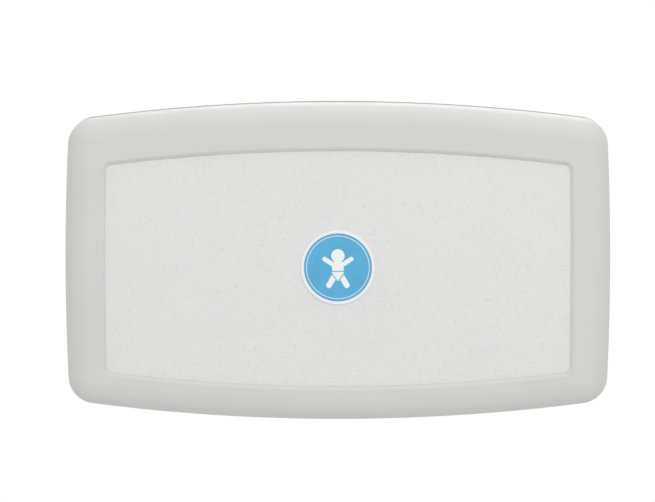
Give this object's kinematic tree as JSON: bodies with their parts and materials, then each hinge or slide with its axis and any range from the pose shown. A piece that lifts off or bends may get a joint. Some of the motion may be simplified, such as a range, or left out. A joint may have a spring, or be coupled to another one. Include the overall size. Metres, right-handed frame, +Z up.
{
  "type": "wall-mounted fold-down changing table",
  "caption": "Horizontal fold-down baby changing station for a wall, with a bowed grey shell, inset panel, strapped tray, gas springs and a liner dispenser.",
  "frame": {"origin": "centre of the four wall-bolt holes, on the wall plane", "axes": "+X to the right as seen from the room, +Y into the wall, +Z up; the front faces -Y"},
  "size_m": [0.8938, 0.102, 0.5206],
  "materials": {
    "frame_steel": "satin powder coat",
    "fastener_steel": "zinc plated",
    "chromed_steel": "polished",
    "cylinder_paint": "black paint",
    "rubber": "matt",
    "chassis_plastic": "fine moulded grain",
    "shell_plastic": "fine moulded grain",
    "panel_plastic": "speckled granite grain",
    "badge_white": "satin",
    "badge_blue": "printed film",
    "label_vinyl": "printed film",
    "liner_paper": "soft paper",
    "hook_plastic": "moulded",
    "strap_webbing": "woven polypropylene",
    "buckle_plastic": "moulded",
    "button_plastic": "moulded"
  },
  "bodies": {
    "base": {"wall_upright_left": "frame_steel", "wall_upright_right": "frame_steel", "wall_rail_lower": "frame_steel", "wall_rail_upper": "frame_steel", "rear_chassis": "chassis_plastic", "chassis_screws": "fastener_steel", "fixed_hinge_leaf": "frame_steel", "fixed_leaf_rivets": "fastener_steel", "hinge_pin": "fastener_steel", "stop_bumpers": "rubber", "gas_cylinder_left": "cylinder_paint", "gas_cylinder_right": "cylinder_paint", "cylinder_clamps": "cylinder_paint", "spring_cover_left": "chassis_plastic", "spring_cover_right": "chassis_plastic", "liner_bin": "chassis_plastic", "door_guides": "chassis_plastic", "liner_stack": "liner_paper", "label_plate": "label_vinyl", "bag_hook_left": "hook_plastic", "bag_hook_right": "hook_plastic", "hook_screws": "fastener_steel"},
    "bed": {"bed_outer_shell": "shell_plastic", "inset_panel": "panel_plastic", "badge_backing": "badge_white", "badge_face": "badge_blue", "changing_tray": "shell_plastic", "bed_bottom_rail": "frame_steel", "bed_top_rail": "frame_steel", "bed_side_arm_left": "frame_steel", "bed_side_arm_right": "frame_steel", "moving_hinge_leaf": "frame_steel", "moving_leaf_rivets": "fastener_steel", "spring_lever_left": "frame_steel", "spring_lever_right": "frame_steel", "lever_pins": "fastener_steel", "tray_screws": "fastener_steel", "closing_bumpers": "rubber", "strap_left": "strap_webbing", "strap_right": "strap_webbing", "strap_anchors": "buckle_plastic", "anchor_screws": "fastener_steel", "buckle_socket": "buckle_plastic"},
    "liner_door": {"liner_door": "chassis_plastic", "lock_ring": "chromed_steel"},
    "lock": {"lock_plug": "chromed_steel", "lock_cam": "chromed_steel"},
    "gas_rod_left": {"gas_rod_left": "chromed_steel", "rod_eye_left": "fastener_steel"},
    "gas_rod_right": {"gas_rod_right": "chromed_steel", "rod_eye_right": "fastener_steel"},
    "buckle_tongue": {"buckle_tongue": "buckle_plastic"},
    "release_button": {"release_button": "button_plastic"}
  },
  "joints": [
    {"name": "bed_fold", "type": "hinge", "parent": "base", "child": "bed", "pos_m": [0, -0.045, -0.225], "axis": [1, 0, 0], "range_deg": [0, 90], "stiffness_Nm_per_rad": 4.5, "springref_deg": -38.39},
    {"name": "gas_rod_left_slide", "type": "slide", "parent": "base", "child": "gas_rod_left", "axis": [0, 0, 1], "range_m": [0, 0.0312]},
    {"name": "gas_rod_right_slide", "type": "slide", "parent": "base", "child": "gas_rod_right", "axis": [0, 0, 1], "range_m": [0, 0.0312]},
    {"name": "liner_door_slide", "type": "slide", "parent": "base", "child": "liner_door", "axis": [0, 0, 1], "range_m": [0, 0.1]},
    {"name": "lock_turn", "type": "hinge", "parent": "liner_door", "child": "lock", "pos_m": [0, -0.045, 0.07375], "axis": [0, 1, 0], "range_deg": [0, 90]},
    {"name": "buckle_tongue_slide", "type": "slide", "parent": "bed", "child": "buckle_tongue", "axis": [-1, 0, 0], "range_m": [0, 0.02]},
    {"name": "release_button_press", "type": "slide", "parent": "bed", "child": "release_button", "axis": [0, -1, 0], "range_m": [0, 0.0025], "stiffness_N_per_m": 400}
  ],
  "couplings": [
    {"joint": "gas_rod_left_slide", "follows": "bed_fold", "m_per_rad": 0.019807},
    {"joint": "gas_rod_right_slide", "follows": "bed_fold", "m_per_rad": 0.019807}
  ]
}
